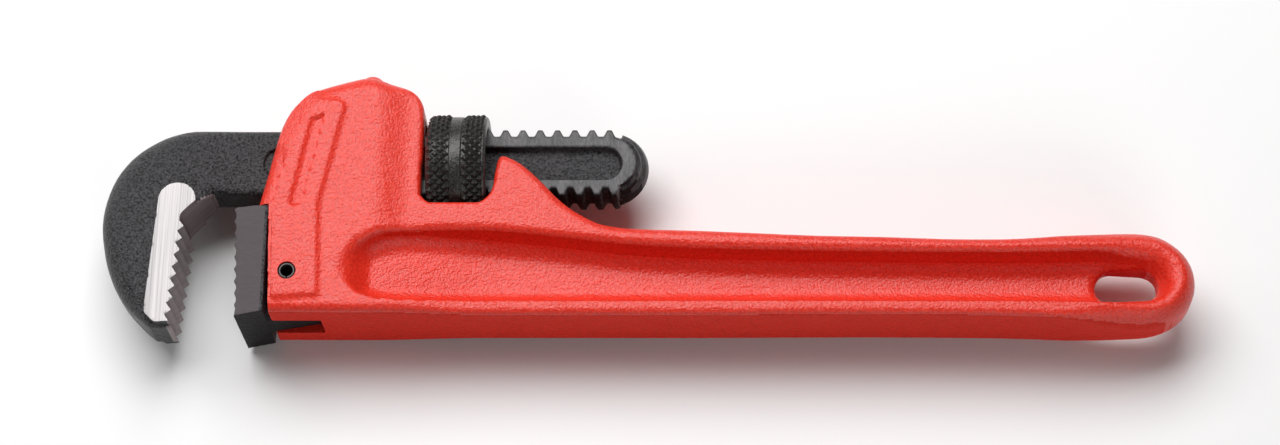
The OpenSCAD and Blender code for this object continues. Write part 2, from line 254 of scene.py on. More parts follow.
def grainGroup():
    # Lumps and fine grain of a cast, forged or painted surface, as a mask and a height
    tree = bpy.data.node_groups.new("surfaceGrain", "ShaderNodeTree")
    for name, value in (("Lump Scale", 150.0), ("Grain Scale", 1200.0), ("Grain Share", 0.5)):
        socket = tree.interface.new_socket(name, in_out="INPUT", socket_type="NodeSocketFloat")
        socket.default_value = value
    for name in ("Height", "Mask"):
        tree.interface.new_socket(name, in_out="OUTPUT", socket_type="NodeSocketFloat")
    nodes, links = tree.nodes, tree.links
    given, put = nodes.new("NodeGroupInput"), nodes.new("NodeGroupOutput")
    place = nodes.new("ShaderNodeTexCoord")
    lump, grain = nodes.new("ShaderNodeTexNoise"), nodes.new("ShaderNodeTexNoise")
    for noise, detail, name in ((lump, 2.0, "Lump Scale"), (grain, 3.0, "Grain Scale")):
        noise.inputs["Detail"].default_value = detail
        links.new(place.outputs["Object"], noise.inputs["Vector"])
        links.new(given.outputs[name], noise.inputs["Scale"])
    mix = nodes.new("ShaderNodeMix")
    links.new(given.outputs["Grain Share"], mix.inputs["Factor"])
    links.new(lump.outputs["Fac"], mix.inputs["A"])
    links.new(grain.outputs["Fac"], mix.inputs["B"])
    links.new(mix.outputs["Result"], put.inputs["Height"])
    links.new(grain.outputs["Fac"], put.inputs["Mask"])
    return tree


def brushGroup():
    # Fine parallel scratches; the stretch sets which way they run
    tree = bpy.data.node_groups.new("brushLines", "ShaderNodeTree")
    socket = tree.interface.new_socket("Stretch", in_out="INPUT", socket_type="NodeSocketVector")
    socket.default_value = (3000, 60, 60)
    for name in ("Height", "Mask"):
        tree.interface.new_socket(name, in_out="OUTPUT", socket_type="NodeSocketFloat")
    nodes, links = tree.nodes, tree.links
    given, put = nodes.new("NodeGroupInput"), nodes.new("NodeGroupOutput")
    place, scaled = nodes.new("ShaderNodeTexCoord"), nodes.new("ShaderNodeVectorMath")
    scaled.operation = "MULTIPLY"
    fine = nodes.new("ShaderNodeTexNoise")
    fine.inputs["Scale"].default_value = 1.0
    fine.inputs["Detail"].default_value = 4.0
    broad = nodes.new("ShaderNodeTexNoise")
    broad.inputs["Scale"].default_value = 0.22
    broad.inputs["Detail"].default_value = 2.0
    links.new(place.outputs["Object"], scaled.inputs[0])
    links.new(given.outputs["Stretch"], scaled.inputs[1])
    links.new(scaled.outputs["Vector"], fine.inputs["Vector"])
    links.new(scaled.outputs["Vector"], broad.inputs["Vector"])
    mix = nodes.new("ShaderNodeMix")
    mix.inputs["Factor"].default_value = 0.45
    links.new(fine.outputs["Fac"], mix.inputs["A"])
    links.new(broad.outputs["Fac"], mix.inputs["B"])
    links.new(fine.outputs["Fac"], put.inputs["Height"])
    links.new(mix.outputs["Result"], put.inputs["Mask"])
    return tree


surfaceGrain = grainGroup()
brushLines = brushGroup()


def blendColor(nodes, links, mask, low, high, start=0.35, end=0.65):
    ramp = nodes.new("ShaderNodeValToRGB")
    ramp.color_ramp.elements[0].position, ramp.color_ramp.elements[1].position = start, end
    ramp.color_ramp.elements[0].color, ramp.color_ramp.elements[1].color = (*low, 1), (*high, 1)
    links.new(mask, ramp.inputs["Fac"])
    return ramp.outputs["Color"]


def blendValue(nodes, links, mask, low, high, start=0.3, end=0.7):
    span = nodes.new("ShaderNodeMapRange")
    for name, value in (("From Min", start), ("From Max", end), ("To Min", low), ("To Max", high)):
        span.inputs[name].default_value = value
    links.new(mask, span.inputs["Value"])
    return span.outputs["Result"]


def newMaterial(name, values):
    # A surface of two mixed colours and roughnesses with a grain or brush group behind it
    material = bpy.data.materials.new(name)
    material.use_nodes = True
    nodes, links = material.node_tree.nodes, material.node_tree.links
    shader = nodes["Principled BSDF"]
    pattern = nodes.new("ShaderNodeGroup")
    pattern.node_tree = brushLines if "stretch" in values else surfaceGrain
    if "stretch" in values:
        pattern.inputs["Stretch"].default_value = values["stretch"]
    else:
        pattern.inputs["Lump Scale"].default_value = values["lumpScale"]
        pattern.inputs["Grain Scale"].default_value = values["grainScale"]
        pattern.inputs["Grain Share"].default_value = values["grainShare"]
    mask = pattern.outputs["Mask"]
    links.new(blendColor(nodes, links, mask, values["dark"], values["light"]), shader.inputs["Base Color"])
    links.new(blendValue(nodes, links, mask, *values["roughness"]), shader.inputs["Roughness"])
    bump = nodes.new("ShaderNodeBump")
    bump.inputs["Strength"].default_value = 1.0
    bump.inputs["Distance"].default_value = values["bump"]
    links.new(pattern.outputs["Height"], bump.inputs["Height"])
    links.new(bump.outputs["Normal"], shader.inputs["Normal"])
    shader.inputs["Metallic"].default_value = values.get("metallic", 0.0)
    shader.inputs["Specular IOR Level"].default_value = values.get("specular", 0.5)
    return material


# looks of every finish, in linear colour
finishes = {
    "redPaint": {
        "dark": (0.66, 0.024, 0.011), "light": (0.82, 0.040, 0.019), "roughness": (0.28, 0.40),
        "lumpScale": 430, "grainScale": 1700, "grainShare": 0.6, "bump": 0.0004, "specular": 0.5},
    # a darker, less shiny copy of redPaint for the faces turned down: painted shade
    "paintedShadeRed": {
        "dark": (0.60, 0.020, 0.010), "light": (0.74, 0.032, 0.016), "roughness": (0.40, 0.52),
        "lumpScale": 430, "grainScale": 1700, "grainShare": 0.6, "bump": 0.0004, "specular": 0.06},
    # a darker, less shiny black for the faces turned down on the hook and heel: painted shade
    "paintedShadeBlack": {
        "dark": (0.006, 0.006, 0.006), "light": (0.022, 0.020, 0.021), "roughness": (0.42, 0.60),
        "lumpScale": 700, "grainScale": 1900, "grainShare": 0.7, "bump": 0.0004, "specular": 0.08},
    "forgedBlack": {
        "dark": (0.010, 0.010, 0.011), "light": (0.072, 0.069, 0.073), "roughness": (0.26, 0.42),
        "lumpScale": 700, "grainScale": 1900, "grainShare": 0.7, "bump": 0.0007, "specular": 0.24},
    "machinedBlack": {
        "dark": (0.014, 0.014, 0.015), "light": (0.10, 0.096, 0.10), "roughness": (0.28, 0.40),
        "stretch": (2400, 700, 900), "bump": 0.00004, "metallic": 0.1, "specular": 0.28},
    "milledSteel": {
        "dark": (0.16, 0.153, 0.155), "light": (0.40, 0.380, 0.380), "roughness": (0.40, 0.54),
        "stretch": (2600, 30, 60), "bump": 0.00003, "metallic": 0.9},
    "groundSteel": {
        "dark": (0.062, 0.050, 0.054), "light": (0.090, 0.074, 0.080), "roughness": (0.46, 0.58),
        "stretch": (500, 2400, 500), "bump": 0.00001, "metallic": 0.0, "specular": 0.2},
    # cut steel of the hook's mouth, several times lighter than the heel's ground steel: partly its real bare
    # finish, partly painted light where the lamps reach little
    "cutSteelPaintedLight": {
        "dark": (0.22, 0.178, 0.182), "light": (0.32, 0.265, 0.272), "roughness": (0.46, 0.58),
        "stretch": (500, 500, 2400), "bump": 0.00001, "metallic": 0.0, "specular": 0.2},
    "nutBlack": {
        "dark": (0.012, 0.012, 0.012), "light": (0.060, 0.056, 0.054), "roughness": (0.26, 0.40),
        "lumpScale": 900, "grainScale": 2600, "grainShare": 0.5, "bump": 0.0002, "metallic": 0.25},
    "springSteel": {
        "dark": (0.24, 0.25, 0.27), "light": (0.40, 0.41, 0.43), "roughness": (0.26, 0.38),
        "stretch": (120, 2600, 2600), "bump": 0.00001, "metallic": 0.95},
}
material = {name: newMaterial(name, values) for name, values in finishes.items()}
print("materials", len(material))

view = {"place": (0.02066, -0.25586, 0.6582), "aim": (-0.00111, -0.0044, 0.0128), "lens": 85.0,
        "sensor": 36.0, "clip": (0.01, 20)}
lights = {
    "overheadSoftbox": {"place": (-0.17, 0.43, 0.80), "aim": (-0.02, 0, 0), "size": (0.98, 0.6),
                        "power": 11.2},
    "leftStrip": {"place": (-0.75, 0.10, 0.42), "aim": (-0.05, 0, 0.01), "size": (0.25, 0.8), "power": 0.7},
    "frontFill": {"place": (0.35, -0.75, 0.42), "aim": (-0.05, 0, 0.01), "size": (0.5, 0.3), "power": 1.9}}
studio = {"skyStrength": 0.06, "floorHalf": 3, "floorColor": (0.91, 0.91, 0.91, 1), "floorRoughness": 0.9}


def addCamera(values):
    data = bpy.data.cameras.new("camera")
    data.lens, data.sensor_width = values["lens"], values["sensor"]
    data.clip_start, data.clip_end = values["clip"]
    made = bpy.data.objects.new("camera", data)
    scene.collection.objects.link(made)
    back = (Vector(values["place"]) - Vector(values["aim"])).normalized()
    up = Vector((0, back.z, -back.y)).normalized()
    right = up.cross(back).normalized()
    turned = Matrix((right, back.cross(right), back)).transposed().to_4x4()
    made.matrix_world = Matrix.Translation(values["place"]) @ turned
    return made


def addLight(name, values):
    data = bpy.data.lights.new(name, "AREA")
    data.shape, data.energy = "RECTANGLE", values["power"]
    data.size, data.size_y = values["size"]
    made = bpy.data.objects.new(name, data)
    scene.collection.objects.link(made)
    made.location = values["place"]
    aim = Vector(values["aim"]) - Vector(values["place"])
    made.rotation_euler = aim.to_track_quat("-Z", "Y").to_euler()


def addFloor(values):
    half = values["floorHalf"]
    mesh = bpy.data.meshes.new("floor")
    corners = [(-half, -half, 0), (half, -half, 0), (half, half, 0), (-half, half, 0)]
    mesh.from_pydata(corners, [], [(0, 1, 2, 3)])
    made = bpy.data.objects.new("floor", mesh)
    scene.collection.objects.link(made)
    paint = bpy.data.materials.new("paleFloor")
    paint.use_nodes = True
    shader = paint.node_tree.nodes["Principled BSDF"]
    shader.inputs["Base Color"].default_value = values["floorColor"]
    shader.inputs["Roughness"].default_value = values["floorRoughness"]
    mesh.materials.append(paint)
    return made


scene.camera = addCamera(view)
for name, values in lights.items():
    addLight(name, values)
world = bpy.data.worlds.new("studio")
world.use_nodes = True
sky = world.node_tree.nodes["Background"]
sky.inputs["Color"].default_value = (1, 1, 1, 1)
sky.inputs["Strength"].default_value = studio["skyStrength"]
scene.world = world
scene.view_settings.view_transform = "Standard"
floor = addFloor(studio)
print("camera, light and floor")

# cast handle and housing, with its web, pads, spring hump, window and bores
handleSizes = {
    "headHalf": 11.0, "handleHalf": 8.9, "thinning": (30, 39.4), "lowerReach": 15, "thinningPower": 1.15,
    "edge": 2.4, "headExtra": 1.8, "lowLess": (0.9, 1.2), "eyeExtra": (4.3, 0.9),
    "windowEdge": 1.5, "frontEdge": 2.6, "frontLowLess": 0.6,
    "webHalf": 1.4, "draft": 15, "eyeDraft": 16, "floorRadius": 3.0, "floorSlope": 0.96,
    "lip": 1.4, "lowLip": 0.25, "scoopLip": 0.7, "eyeLip": 1.8, "scoopHeights": (4.3, 4.3),
    "padTop": 11.7, "padRoot": 10.2, "padSpread": 0.8, "padLean": 0.9, "padInset": 0.9,
    "padFade": 4, "padEdge": 0.2,
    "padFillet": 0.25, "humpPlace": 28.5, "humpTop": 23.08, "humpRadius": 2.3, "humpEdge": 1.7,
    "humpFillet": 4.2, "humpFoot": 12, "window": (41.87, 57.8), "windowRadius": 14.0, "windowLean": 0.09,
    "windowCorner": 2.2, "spurCorner": 1.6, "windowRim": 1.2, "highRimLess": 0.6, "windowTop": 3,
    "openFrom": -0.4, "spurEnd": 59.2,
    "hangHole": (198.5, 204.4, -29.6, 4.05), "hangLip": 1.35, "hangSoftness": 0.62,
    "slotHalf": 5.1, "channelLow": -9.65, "channelEnd": 42.9, "frontFace": 7.45, "frontLean": 0.045,
    "frontLip": -12.7, "tangSlot": (19.75, -17.1, 4.15), "pinHole": 2.05, "pocket": (2.8, 20.5),
    "drivenHole": (33.8, 1.55, 16.2), "roof": (10.97, 0.038, 3.35), "roofEnd": (37, 10.2),
    "prongs": (56, -10.6, 0.035), "cell": 0.57}

# where along X or Y each change of thickness, edge or wall begins and ends
zones = {"head": (36, 52), "low": (-24, -34), "eye": (184, 206), "lowerThinning": (-14, -30),
         "windowLeft": (33, 39), "windowRight": (56, 78), "windowHigh": (-26, -20), "front": (6, 24),
         "frontLow": (-30, -37), "eyeWall": (192, 206), "lowLip": (-33, -28), "scoopLip": (24, 38),
         "scoopEnd": (24.5, 31), "scoopFloor": (25, 62), "padFade": (-4, 4), "spurCorner": (46, 54),
         "windowRim": (-3, 0), "roof": (12, 18)}

# heel jaw pin's place, shared by the head's hole, the tang's hole and the pin
pinPlace = (12.45, -29)

headTop = [(4.9, -12.7), (6.8, -4), (8.1, 2.5), (9.2, 6.9), (10.8, 10.6), (12.8, 13.3), (15.2, 15.5),
           (18, 16.9), (21.5, 18.1), (25, 19.1), (28.5, 19.8), (31.3, 19.3), (34, 18.4), (36.4, 17.5),
           (38.6, 16.4), (40.2, 15.0), (41.3, 13), (41.8, 10.5), (41.87, 8)]
handleTop = [(61.9, -0.3), (64.2, -1.55), (66.6, -3.55), (69.6, -6.5), (72.4, -9.5), (75.5, -12.2),
             (79, -14.4), (82.4, -16.1), (87, -17), (91.5, -17.35), (105, -17.75), (118.8, -18.35),
             (132.5, -18.95), (146, -19.2), (159.6, -19.7), (173, -19.8), (182, -19.35), (190, -18.6),
             (197, -17.75)]
handleBottom = [(15.5, -38.4), (105, -38.35), (140, -38.15), (173, -38.35), (187, -38.9), (195, -39.6)]
eyeLine = [(202, -39.95), (206, -39.75), (209.7, -38.7), (212.8, -36.9), (215.1, -34.4), (216.4, -31.3),
           (216.65, -28.2), (216, -25.1), (214.4, -22.2), (212, -19.9), (208.9, -18.1), (205.2, -17.3),
           (201.5, -17.3)]
spur = [(60.9, 0.15), (60.1, 0.3), (59.3, 0.0), (58.9, -0.7), (57.5, -3.4), (55, -9), (15.5, -9)]
recessLine = [
    (24.9, -28.5), (26.3, -24.4), (30.6, -20.8), (37.3, -18.4), (48.7, -17.7), (60, -17.9), (73.6, -19.3),
    (87.2, -20.9), (105, -22), (140, -22.7), (173, -23), (190, -22.7), (200, -22.4), (206.5, -22.6),
    (210.7, -24.8), (212.2, -28.9), (210.8, -33), (206.5, -35.4), (190, -35.3), (173, -35.1), (105, -35.1),
    (60, -35.2), (38, -35.2), (31.2, -34.2), (26.6, -31.8)]
padCorners = [(9.2, -34.9, 0.4), (19.1, -34.2, 0.5), (18.2, -12.4, 9), (23.4, 12.4, 1.2), (17.5, 12.6, 2),
              (11.6, 2.5, 6), (8.3, -13.3, 4)]
grooveCorners = [(11.6, -13.3, 0.9), (14.9, -13.3, 1.3), (19.3, 9.7, 0.5), (15.7, 8.2, 0.5)]
headOutline = smoothLine(headTop, 2) + [(41.87, -10), (36, -38.4), (0, -38.4), (0, -12.7)]
beamOutline = smoothLine(handleBottom + eyeLine + handleTop[::-1], 2) + spur
recessOutline = smoothLine(recessLine, 2, closed=True)
padOutline, grooveOutline = roundedOutline(padCorners, 9), roundedOutline(grooveCorners, 15)


def past(zone, value):
    # 0 before a zone, 1 past it
    return smoothStep(*zones[zone], value)


def handleThickness(x, y):
    # half the thickness, thinner from the head to the handle
    sizes = handleSizes
    start, end = sizes["thinning"]
    end = end + sizes["lowerReach"] * past("lowerThinning", y)
    thinner = (sizes["headHalf"] - sizes["handleHalf"]) * smoothStep(start, end, x) ** sizes["thinningPower"]
    return sizes["headHalf"] - thinner


def handleEdge(x, y):
    # the outer edge's radius: broad under the head and round the eye, tighter at the front
    sizes = handleSizes
    inHead, low, inEye = 1 - past("head", x), past("low", y), past("eye", x)
    lowLess, headLowLess = sizes["lowLess"]
    eyeExtra, eyeLowExtra = sizes["eyeExtra"]
    edge = sizes["edge"] + sizes["headExtra"] * inHead - (lowLess + headLowLess * inHead) * low
    edge = edge + (eyeExtra + eyeLowExtra * low) * inEye
    byWindow = past("windowLeft", x) * (1 - past("windowRight", x)) * past("windowHigh", y)
    edge = edge + (sizes["windowEdge"] - edge) * byWindow
    inFront = (1 - past("front", x)) * (1 - sizes["frontLowLess"] * past("frontLow", y))
    return edge + (sizes["frontEdge"] - edge) * inFront


def cutRecess(body, x, y, aside):
    # sunk web of the I section, with a scoop at the head's end
    sizes = handleSizes
    draft = np.radians(sizes["draft"] + sizes["eyeDraft"] * past("eyeWall", x))
    wall = outlineDistance(x, y, recessOutline) * np.cos(draft)
    wall = wall + (sizes["handleHalf"] - aside) * np.sin(draft)
    endHeight, floorHeight = sizes["scoopHeights"]
    level = sizes["webHalf"] + endHeight * (1 - past("scoopEnd", x))
    level = level + floorHeight * (1 - past("scoopFloor", x))
    lip = sizes["lip"] * (sizes["lowLip"] + (1 - sizes["lowLip"]) * past("lowLip", y))
    lip = lip + sizes["scoopLip"] * (1 - past("scoopLip", x)) + sizes["eyeLip"] * past("eyeWall", x)
    sunk = roundBoth(wall, (level - aside) * sizes["floorSlope"], sizes["floorRadius"])
    return cutAway(body, sunk, lip)


def padFlank(x, y, aside, outline, way, fade):
    # a pad's side, wide where it faces right or down, steep to the left, and faded out up the left
    sizes, step = handleSizes, 0.05
    here = way * outlineDistance(x, y, outline)
    slopeX = (way * outlineDistance(x + step, y, outline) - here) / step
    slopeY = (way * outlineDistance(x, y + step, outline) - here) / step
    spread = sizes["padSpread"] * (1 + slopeX - sizes["padLean"] * slopeY * (way > 0))
    spread = np.maximum(spread, 0) + fade * np.maximum(0.4 * slopeY - sizes["padLean"] * slopeX, 0)
    return (here + (aside - sizes["padTop"]) * spread) / np.sqrt(1 + spread ** 2)


def addPads(body, side, x, y, aside):
    # raised pads, with the groove between their two strips
    sizes = handleSizes
    pads = padFlank(x, y, aside, padOutline, 1, sizes["padFade"] * past("padFade", y))
    strips = np.maximum(pads, padFlank(x, y, aside, grooveOutline, -1, 0))
    raised = roundBoth(strips, aside - sizes["padTop"], sizes["padEdge"])
    raised = np.maximum(np.maximum(raised, side + sizes["padInset"]), sizes["padRoot"] - aside)
    return roundEither(body, raised, sizes["padFillet"])


def addHump(body, x, y, z):
    # hump on the roof, over the coil spring's pocket
    sizes = handleSizes
    post = np.hypot(x - sizes["humpPlace"], z) - sizes["humpRadius"]
    post = roundBoth(post, y - sizes["humpTop"], sizes["humpEdge"])
    return roundEither(body, np.maximum(post, sizes["humpFoot"] - y), sizes["humpFillet"])


def cutWindow(body, x, y, z):
    # window for the nut: square above, round below, and the sloped face of the spur
    sizes = handleSizes
    left, right = sizes["window"]
    slant = x - right - sizes["windowLean"] * np.maximum(y + 10, 0)
    below = np.hypot(y, z) - sizes["windowRadius"]
    corner = sizes["windowCorner"] + sizes["spurCorner"] * past("spurCorner", x)
    window = roundBoth(np.maximum(left - x, slant), np.minimum(below, sizes["windowTop"] - y), corner)
    above = np.maximum(np.maximum(left - x, x - sizes["spurEnd"]), sizes["openFrom"] - y)
    rim = sizes["windowRim"] * (1 - sizes["highRimLess"] * past("windowRim", y))
    return cutAway(body, np.minimum(window, above), rim)


def handleBores(x, y, z):
    # channel for the shank, prongs' slot, heel jaw's seat and tang slot, pin hole and spring room
    sizes, aside = handleSizes, np.abs(z)
    slot = aside - sizes["slotHalf"]
    roofHeight, roofFall, roofRise = sizes["roof"]
    roof = roofHeight - roofFall * x + roofRise * past("roof", x)
    roofEnd, endHeight = sizes["roofEnd"]
    channel = np.maximum(np.maximum(sizes["channelLow"] - y, x - sizes["channelEnd"]), slot)
    channel = np.maximum(channel, y - np.where(x < roofEnd, roof, endHeight))
    prongStart, prongHeight, prongFall = sizes["prongs"]
    prongs = np.maximum(prongStart - x, prongHeight - prongFall * (x - prongStart) - y)
    prongs = np.maximum(prongs, slot)
    lean = sizes["frontLean"] * np.maximum(sizes["frontLip"] - y, 0)
    seat = np.maximum(x - sizes["frontFace"] - lean, y - sizes["frontLip"])
    tangEnd, tangTop, tangHalf = sizes["tangSlot"]
    tang = np.maximum(np.maximum(x - tangEnd, y - tangTop), aside - tangHalf)
    pinHole = np.hypot(x - pinPlace[0], y - pinPlace[1]) - sizes["pinHole"]
    pocketRadius, pocketTop = sizes["pocket"]
    pocket = np.hypot(x - sizes["humpPlace"], z) - pocketRadius
    pocket = np.maximum(pocket, np.maximum(y - pocketTop, -y))
    drivenPlace, drivenRadius, drivenTop = sizes["drivenHole"]
    driven = np.maximum(np.hypot(x - drivenPlace, z) - drivenRadius, np.maximum(y - drivenTop, -y))
    made = channel
    for cutter in (prongs, seat, tang, pinHole, pocket, driven):
        made = np.minimum(made, cutter)
    return made


def handleField(x, y, z):
    sizes, aside = handleSizes, np.abs(z)
    side = np.minimum(outlineDistance(x, y, headOutline), outlineDistance(x, y, beamOutline))
    body = roundBoth(side, aside - handleThickness(x, y), handleEdge(x, y))
    body = cutRecess(body, x, y, aside)
    body = addPads(body, side, x, y, aside)
    body = addHump(body, x, y, z)
    body = cutWindow(body, x, y, z)
    hole = capsuleDistance(x, y, *sizes["hangHole"]) * sizes["hangSoftness"]
    return np.maximum(cutAway(body, hole, sizes["hangLip"]), -handleBores(x, y, z))


def handleParts(middles, normals):
    # the faces turned straight down get a darker, less shiny copy of the red paint: painted shade
    return (normals[:, 1] < -0.9).astype(int)


points, faces = meshField(handleField, (3.5, -40.4, -12.4), (218.2, 24, 12.4), handleSizes["cell"])
handle = newPiece("castHandle", toFrame(points), faces, [material["redPaint"], material["paintedShadeRed"]],
                  handleParts, sharp=50)
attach(handle, "handle")
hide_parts("handle")

# hook jaw: forged hook and neck, then a flattened threaded shank
hookSizes = {
    "forgedHalf": 7.35, "padHalf": 7.7, "shankHalf": 4.65, "neck": (-7.9, 8.2), "neckEnds": (-12, 16),
    "thickening": (-12, 5), "flatLess": 2.95, "hookExtra": 0.9, "hookExtraZone": (-20, 0), "tipLess": 1.2,
    "tipZone": (-34, -40), "padInset": 0.3, "padEdge": 0.12, "mouthEdge": 0.15, "bottom": -40.35,
    "crest": 9.2, "root": 7.75, "pitch": 4.0, "firstCrest": 59.95, "ridge": (0.36, 1.5), "threadStart": 14.0,
    "nose": 84.1, "noseEnd": 95, "shankEdge": 0.25, "panel": (8.6, 83.3, -0.2, 4.0), "panelDepth": 2.0,
    "neckLine": (-4.85, 0.18), "softness": (0.8, 0.6), "ballStart": 3.0, "leastFlat": 0.3,
    "machinedFrom": 13, "mouthUntil": -6.3, "panelLean": 12, "panelRise": 1.25,
    "panelRiseZone": (3.5, 13), "panelCorner": 0.45, "panelEdge": 0.3,
    "cell": 0.42}
toothTip, toothRoot = (-12.2, -16.8), (-13.65, -17.97)
toothStep, toothCount = (-0.2315, -2.89), 9

# the nose's rim: its half thickness at each distance from the ball's centre, seen from the side
rimPlaces = (0, 6.1, 6.45, 7.3, 7.65, 8.6, 9.2, 12)
rimHalves = (5.6, 5.6, 3.85, 3.35, 2.3, 1.6, 0.0, -8)

hookBack = [(-3.2, 8.2), (-8, 8.2), (-12, 8.15), (-15.1, 7.6), (-18.4, 6.55), (-21.4, 4.97), (-24.1, 3.1),
            (-26.4, 0.9), (-28.6, -2.1), (-30.2, -5.4), (-31.35, -9.4), (-31.85, -13), (-31.8, -16.5),
            (-31.2, -20.3), (-30.2, -24.6), (-28.7, -28.6), (-26.8, -32.3), (-24.3, -35.6), (-21.1, -38.7),
            (-19.2, -40.2)]
throat = [(20, -7.9), (-4.4, -7.9), (-6.9, -8.3), (-9.4, -10.0), (-11.9, -12.3), (-13.2, -14), (-13.3, -15.5)]
hookOutline = smoothLine(hookBack, 2) + [(-18.6, -40.5), (-14.1, -40.5), (-6.4, -7.9)]
hookTeeth = [(x + toothStep[0] * tooth, y + toothStep[1] * tooth)
             for tooth in range(toothCount) for x, y in (toothTip, toothRoot)]
mouthOutline = smoothLine(throat, 3) + hookTeeth + [(-14.1, -41.5), (20, -60)]
milledOutline = roundedOutline([(-18.3, -6.2, 4.1), (-10.1, -6.2, 4.1), (-9.8, -17, 0), (-10.5, -42, 0),
                                (-13.6, -39.6, 0), (-17.6, -39.9, 1.6), (-20.1, -37.4, 1.8)], 8)


def forgedHook(x, y, aside):
    # hook and neck, thicker than the shank, with the milled pads and the toothed mouth
    sizes = hookSizes
    neckPlace, neckLean = sizes["neckLine"]
    across = x - (neckPlace + neckLean * y)
    thick = 1 - smoothStep(*sizes["thickening"], across)
    half = sizes["shankHalf"] + (sizes["forgedHalf"] - sizes["shankHalf"]) * thick
    edge = half - sizes["flatLess"] + sizes["hookExtra"] * (1 - smoothStep(*sizes["hookExtraZone"], across))
    edge = edge - sizes["tipLess"] * smoothStep(*sizes["tipZone"], y)
    (neckLow, neckHigh), (neckStart, neckEnd) = sizes["neck"], sizes["neckEnds"]
    outline = outlineDistance(x, y, hookOutline)
    neck = np.maximum(np.maximum(y - neckHigh, neckLow - y), np.maximum(neckStart - x, x - neckEnd))
    body = roundBoth(np.minimum(outline, neck), aside - half, np.minimum(edge, half - sizes["leastFlat"]))
    milled = np.maximum(outlineDistance(x, y, milledOutline), outline + sizes["padInset"])
    body = np.minimum(body, roundBoth(milled, aside - sizes["padHalf"], sizes["padEdge"]))
    body = cutAway(body, outlineDistance(x, y, mouthOutline), sizes["mouthEdge"])
    return np.maximum(body, sizes["bottom"] - y)


def threadRadius(x, y, z):
    sizes = hookSizes
    turn = (x - sizes["firstCrest"]) / sizes["pitch"] - np.arctan2(z, y) / (2 * math.pi)
    off = np.abs(turn - np.round(turn)) * sizes["pitch"]
    return sizes["crest"] - (sizes["crest"] - sizes["root"]) * smoothStep(*sizes["ridge"], off)


def threadedShank(x, y, z):
    # a thread with two flats, which ends in a ball nose with a stepped rim
    sizes, aside = hookSizes, np.abs(z)
    threadSoftness, rimSoftness = sizes["softness"]
    beyond = np.maximum(x - sizes["nose"], 0)
    around = np.sqrt(beyond ** 2 + y ** 2 + z ** 2)
    rod = (around - threadRadius(x, y, z)) * threadSoftness
    rim = np.interp(np.hypot(beyond, y), rimPlaces, rimHalves)
    rimmed = np.where(x > sizes["nose"], (aside - rim) * rimSoftness, -9)
    ball = np.maximum(around - sizes["crest"], rimmed)
    rod = np.where(x > sizes["nose"] + sizes["ballStart"], ball, rod)
    ends = np.maximum(sizes["threadStart"] - x, x - sizes["noseEnd"])
    return np.maximum(roundBoth(rod, aside - sizes["shankHalf"], sizes["shankEdge"]), ends)


def hookField(x, y, z):
    sizes, aside = hookSizes, np.abs(z)
    body = np.minimum(forgedHook(x, y, aside), threadedShank(x, y, z))
    # long panel sunk in each side, shallower at the hook's end
    lean = math.radians(sizes["panelLean"])
    wall = capsuleDistance(x, y, *sizes["panel"]) * math.cos(lean)
    wall = wall + (sizes["shankHalf"] - aside) * math.sin(lean)
    depth = sizes["panelDepth"] - sizes["panelRise"] * (1 - smoothStep(*sizes["panelRiseZone"], x))
    panel = roundBoth(wall, sizes["shankHalf"] - depth - aside, sizes["panelCorner"])
    return cutAway(body, panel, sizes["panelEdge"])


def hookParts(middles, normals):
    x, y, z = middles.T
    flatFace = np.abs(normals[:, 2]) > 0.93
    inPanel = capsuleDistance(x, y, *hookSizes["panel"]) < 0.1
    machined = (x > hookSizes["machinedFrom"]) & ~inPanel
    milled = flatFace & (np.abs(z) > hookSizes["padHalf"] - 0.06)
    nearMouth = np.abs(outlineDistance(x, y, mouthOutline)) < 0.3
    # the mouth's cut faces get the cut steel, lightened as painted light
    inMouth = nearMouth & ~flatFace & (x < hookSizes["mouthUntil"])
    chosen = np.zeros(len(x), int)
    # machined faces turned down get the darker, duller black as painted shade
    turnedDown = machined & (normals[:, 1] < -0.45)
    for number, where in ((1, machined), (4, turnedDown), (3, inMouth), (2, milled)):
        chosen[where] = number
    return chosen


hookFinishes = ("forgedBlack", "machinedBlack", "milledSteel", "cutSteelPaintedLight", "paintedShadeBlack")
points, faces = meshField(hookField, (-33.4, -41.6, -8.4), (94.5, 10.4, 8.4), hookSizes["cell"])
hook = newPiece("hookJaw", toFrame(points), faces, [material[name] for name in hookFinishes],
                hookParts, sharp=35)
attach(hook, "hook_jaw")
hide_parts("hook_jaw")

# heel jaw: a toothed block on a tang that the pin holds in the housing
heelSizes = {"half": 11.25, "edge": 0.28, "tangHalf": 3.98, "tangEdge": 0.3, "tangFillet": 0.04,
             "top": -13.15, "lean": 0.053, "toothPitch": 2.86, "toothDepth": 0.27, "toothPower": 0.8,
             "firstTooth": 1.1, "pointStep": 0.42, "pointCount": 57, "pinHole": 2.05,
             "groundUntil": 6.75, "toothedUntil": 2.2, "cell": 0.36}


def heelTooth(down):
    # a point of the toothed front, this far below the jaw's top
    sizes = heelSizes
    wave = abs(math.sin(math.pi * (down - sizes["firstTooth"]) / sizes["toothPitch"]))
    height = sizes["toothDepth"] * 2 * (0.75 - wave ** sizes["toothPower"])
    return 0.02 + sizes["lean"] * down - height, sizes["top"] - down


heelTop = [(7.4, heelSizes["top"]), (4.5, heelSizes["top"]), (0.3, heelSizes["top"] - 0.55)]
heelFront = [heelTooth(heelSizes["pointStep"] * k + heelSizes["firstTooth"])
             for k in range(heelSizes["pointCount"])]
heelOutline = heelTop + heelFront + [(1.1, -39.75), (7.4, -38.45)]
tangOutline = [(6.4, -17.45), (19.4, -17.45), (19.5, -36.2), (6.4, -38.5)]


